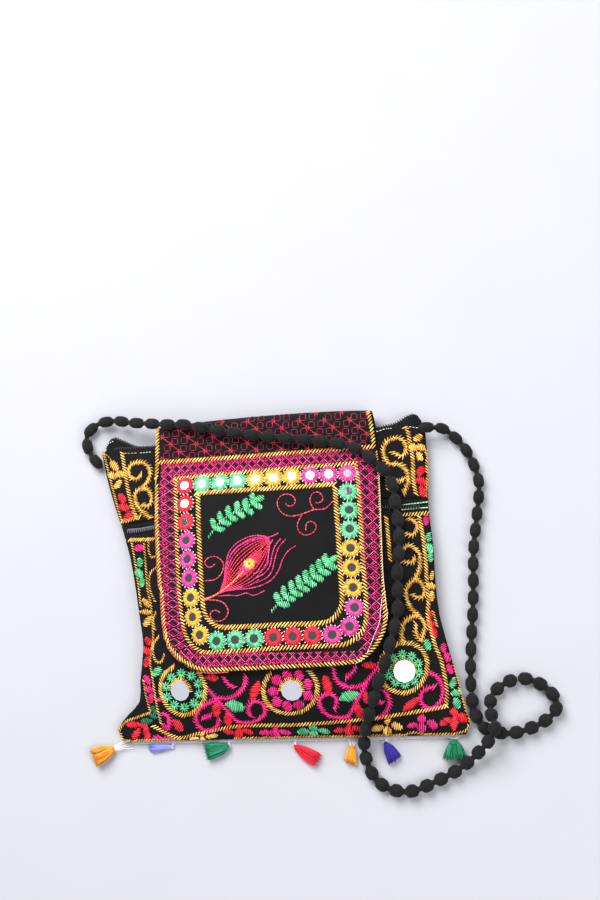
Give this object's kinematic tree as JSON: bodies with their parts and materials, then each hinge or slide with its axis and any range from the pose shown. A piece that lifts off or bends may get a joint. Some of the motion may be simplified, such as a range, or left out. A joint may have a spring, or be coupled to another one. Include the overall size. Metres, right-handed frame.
{
  "type": "handbag",
  "caption": "Soft embroidered cloth sling bag lying on its back, with a fold-over flap, a front zip pocket, sewn-on mirrors, hem tassels and a shoulder strap of cloth-covered beads.",
  "frame": {"origin": "middle of the flat back, on the surface that the bag lies on", "axes": "+Z out of the front of the bag, +Y from the hem to the mouth, +X to the right as seen from the front"},
  "size_m": [0.3464, 0.2777, 0.0452],
  "materials": {
    "black_cloth": "matte cotton, embroidered",
    "zip_tape": "woven tape",
    "zip_coil": "moulded coil",
    "mirror_glass": "small sewn-on mirrors",
    "bead_cloth": "gathered matte cotton",
    "orange_thread": "cotton thread",
    "lavender_thread": "cotton thread",
    "green_thread": "cotton thread",
    "red_thread": "cotton thread",
    "violet_thread": "cotton thread",
    "white_thread": "cotton braid",
    "yellow_thread": "rayon embroidery thread",
    "pink_thread": "rayon embroidery thread",
    "mint_thread": "rayon embroidery thread",
    "scarlet_thread": "rayon embroidery thread"
  },
  "bodies": {
    "root": {"back_panel": "black_cloth", "front_lower": "black_cloth", "front_upper": "black_cloth", "flap": "black_cloth", "front_zip_tape": "zip_tape", "mouth_zip_front": "zip_tape", "mouth_zip_back": "zip_tape", "front_zip_coil": "zip_coil", "mirror_small_01": "mirror_glass", "mirror_small_02": "mirror_glass", "mirror_small_03": "mirror_glass", "mirror_small_04": "mirror_glass", "mirror_small_05": "mirror_glass", "mirror_small_06": "mirror_glass", "mirror_small_07": "mirror_glass", "mirror_small_08": "mirror_glass", "mirror_small_09": "mirror_glass", "mirror_small_10": "mirror_glass", "mirror_small_11": "mirror_glass", "mirror_small_12": "mirror_glass", "mirror_small_13": "mirror_glass", "mirror_small_14": "mirror_glass", "mirror_small_15": "mirror_glass", "mirror_small_16": "mirror_glass", "mirror_small_17": "mirror_glass", "mirror_small_18": "mirror_glass", "mirror_small_19": "mirror_glass", "mirror_small_20": "mirror_glass", "mirror_small_21": "mirror_glass", "mirror_small_22": "mirror_glass", "mirror_small_23": "mirror_glass", "mirror_small_24": "mirror_glass", "mirror_small_25": "mirror_glass", "mirror_small_26": "mirror_glass", "mirror_small_27": "mirror_glass", "mirror_small_28": "mirror_glass", "mirror_small_29": "mirror_glass", "mirror_small_30": "mirror_glass", "mirror_small_31": "mirror_glass", "mirror_small_32": "mirror_glass", "mirror_small_33": "mirror_glass", "mirror_large_left": "mirror_glass", "mirror_large_centre": "mirror_glass", "mirror_large_right": "mirror_glass", "tassel_orange_left": "orange_thread", "tassel_lavender": "lavender_thread", "tassel_green_left": "green_thread", "tassel_red": "red_thread", "tassel_orange_right": "orange_thread", "tassel_violet": "violet_thread", "tassel_green_right": "green_thread", "tassel_braid": "white_thread", "strap_left": "bead_cloth", "strap_over_flap": "bead_cloth", "strap_down_front": "bead_cloth", "strap_floor": "bead_cloth", "strap_loop_over": "bead_cloth", "strap_loop_under": "bead_cloth", "strap_right": "bead_cloth"}
  },
  "joints": []
}
